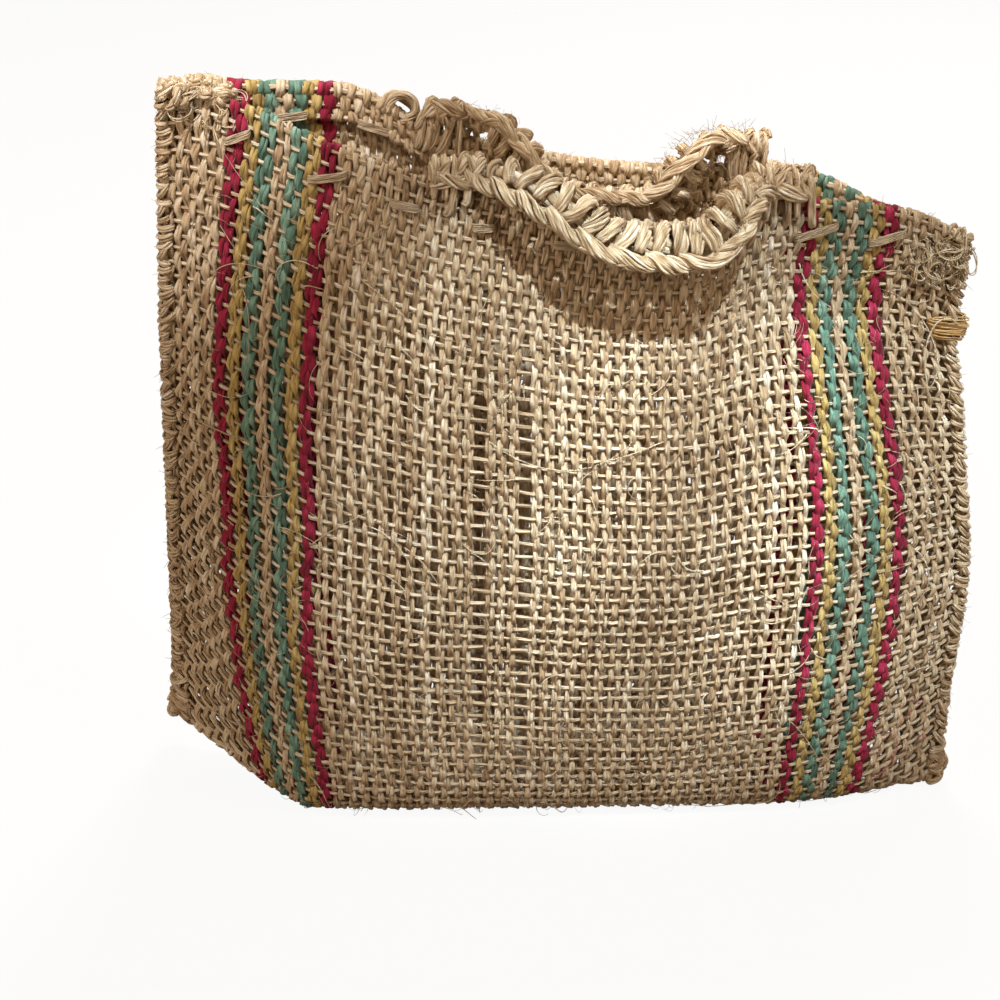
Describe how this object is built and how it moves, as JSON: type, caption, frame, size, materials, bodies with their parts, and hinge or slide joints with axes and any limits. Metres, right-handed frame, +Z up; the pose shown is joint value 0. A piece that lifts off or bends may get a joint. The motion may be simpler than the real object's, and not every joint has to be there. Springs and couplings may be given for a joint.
{
  "type": "woven sisal tote bag",
  "caption": "Hand-woven sisal tote with coloured warp stripes, whip-stitched sides, sewn hems and short wrapped rope handles that swing on its rims.",
  "frame": {"origin": "the middle of the flat base, on the surface that the bag stands on", "axes": "+X to the right along the bag's width, +Y from the front panel to the back panel, +Z up to the mouth"},
  "size_m": [0.407, 0.1194, 0.3617],
  "materials": {
    "sisal_cloth": "coarse open plain weave of dry natural sisal",
    "sisal_yarn": "loosely twisted natural sisal yarn with stray fibres",
    "pale_sisal": "paler flat sisal strands, slightly glossy",
    "sisal_rope": "twisted sisal rope",
    "magenta_yarn": "dyed sisal yarn, dry, streaky",
    "yellow_yarn": "dyed sisal yarn, dry, streaky",
    "green_yarn": "dyed sisal yarn, dry, streaky"
  },
  "bodies": {
    "bag": {"woven_body": "sisal_cloth", "left_seam_yarn": "sisal_yarn", "right_seam_yarn": "sisal_yarn", "front_hem_yarn": "pale_sisal", "back_hem_yarn": "pale_sisal", "front_left_lashing": "pale_sisal", "front_right_lashing": "pale_sisal", "back_left_lashing": "pale_sisal", "back_right_lashing": "pale_sisal", "right_seam_loop": "sisal_yarn", "back_rim_loop": "pale_sisal", "left_seam_knot": "pale_sisal", "right_seam_knot": "pale_sisal"},
    "front_handle": {"front_handle_core": "sisal_rope", "front_handle_wrap": "sisal_yarn", "front_handle_ridge": "sisal_yarn"},
    "back_handle": {"back_handle_core": "sisal_rope", "back_handle_wrap": "sisal_yarn", "back_handle_ridge": "sisal_yarn"}
  },
  "joints": [
    {"name": "front_handle_swing", "type": "hinge", "parent": "bag", "child": "front_handle", "pos_m": [0.01899, -0.02588, 0.32505], "axis": [-0.9988, -0.0282, 0.0408], "range_deg": [0, 150]},
    {"name": "back_handle_swing", "type": "hinge", "parent": "bag", "child": "back_handle", "pos_m": [0.01199, 0.02663, 0.33168], "axis": [-0.9958, 0.0172, 0.0896], "range_deg": [0, 170]}
  ]
}
